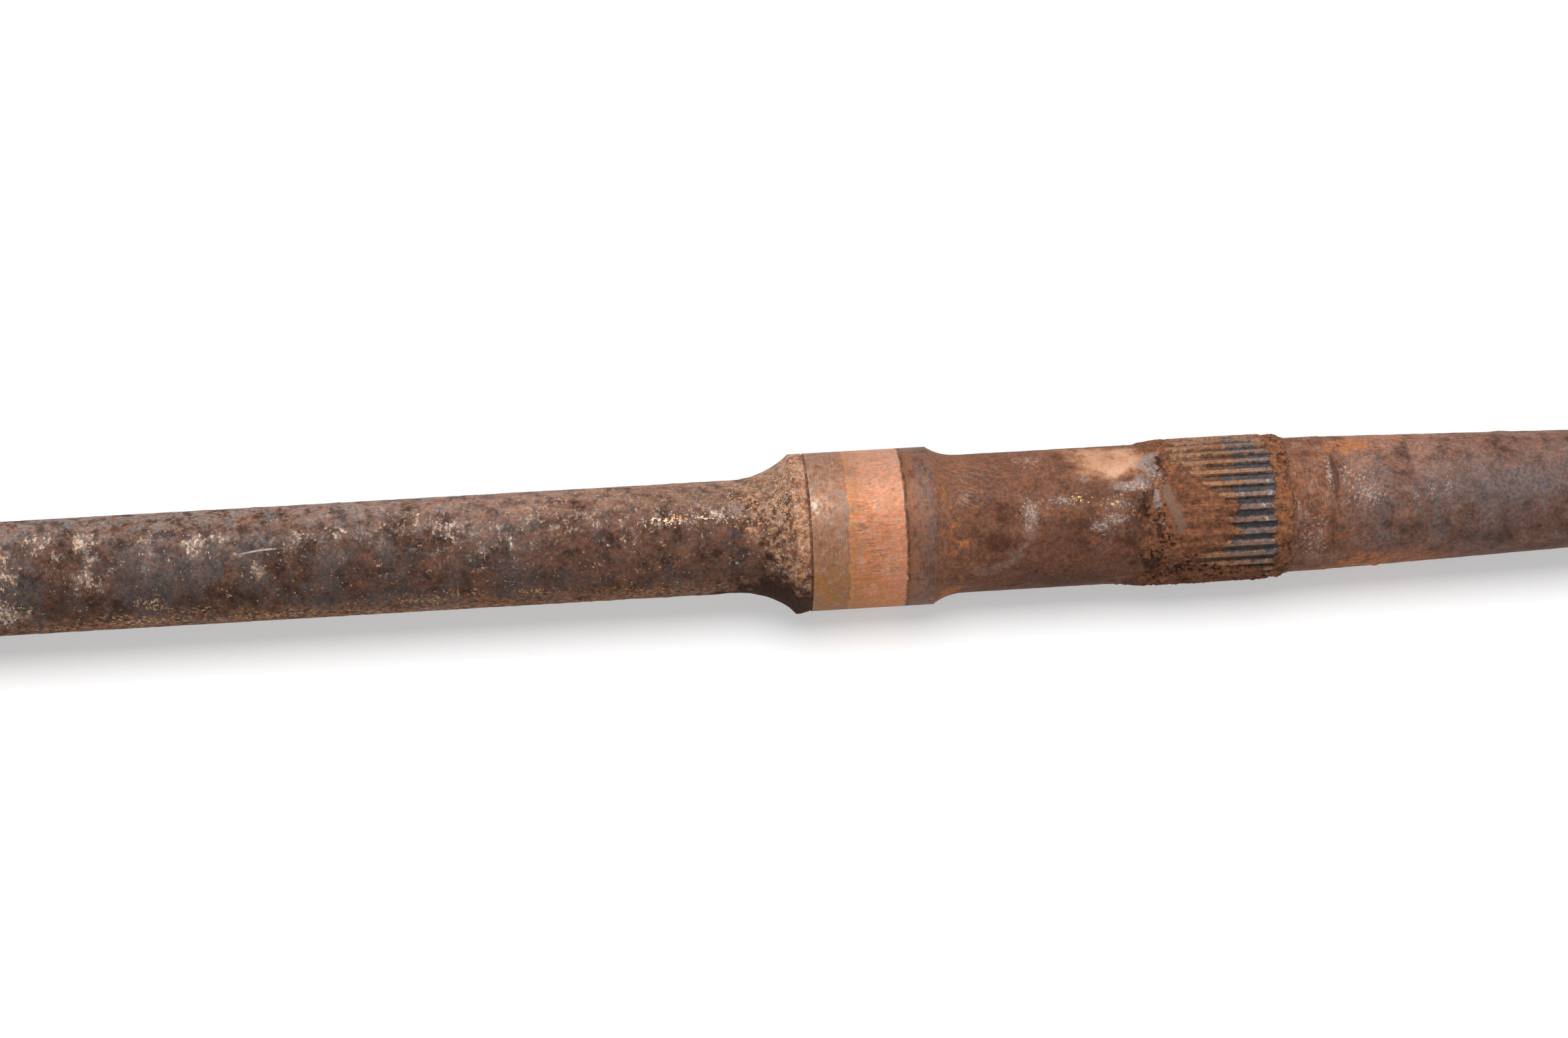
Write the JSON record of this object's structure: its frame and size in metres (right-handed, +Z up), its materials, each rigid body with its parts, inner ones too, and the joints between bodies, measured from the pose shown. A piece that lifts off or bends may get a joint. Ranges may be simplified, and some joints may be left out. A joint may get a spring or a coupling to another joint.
{
  "type": "rear axle",
  "caption": "Solid steel rear axle with a necked middle, ground bearing journals, hub splines, tapered arms and splined, threaded wheel ends.",
  "frame": {"origin": "middle of the axle, on its own axis", "axes": "+X along the axle to its right-hand end; the split-pin holes run along Y; +Z up"},
  "size_m": [0.9392, 0.0398, 0.04],
  "materials": {
    "rusted_steel": "bare steel, brown with surface rust, worn on the journals and caked with rust on the splines"
  },
  "bodies": {
    "root": {"axle": "rusted_steel"}
  },
  "joints": []
}
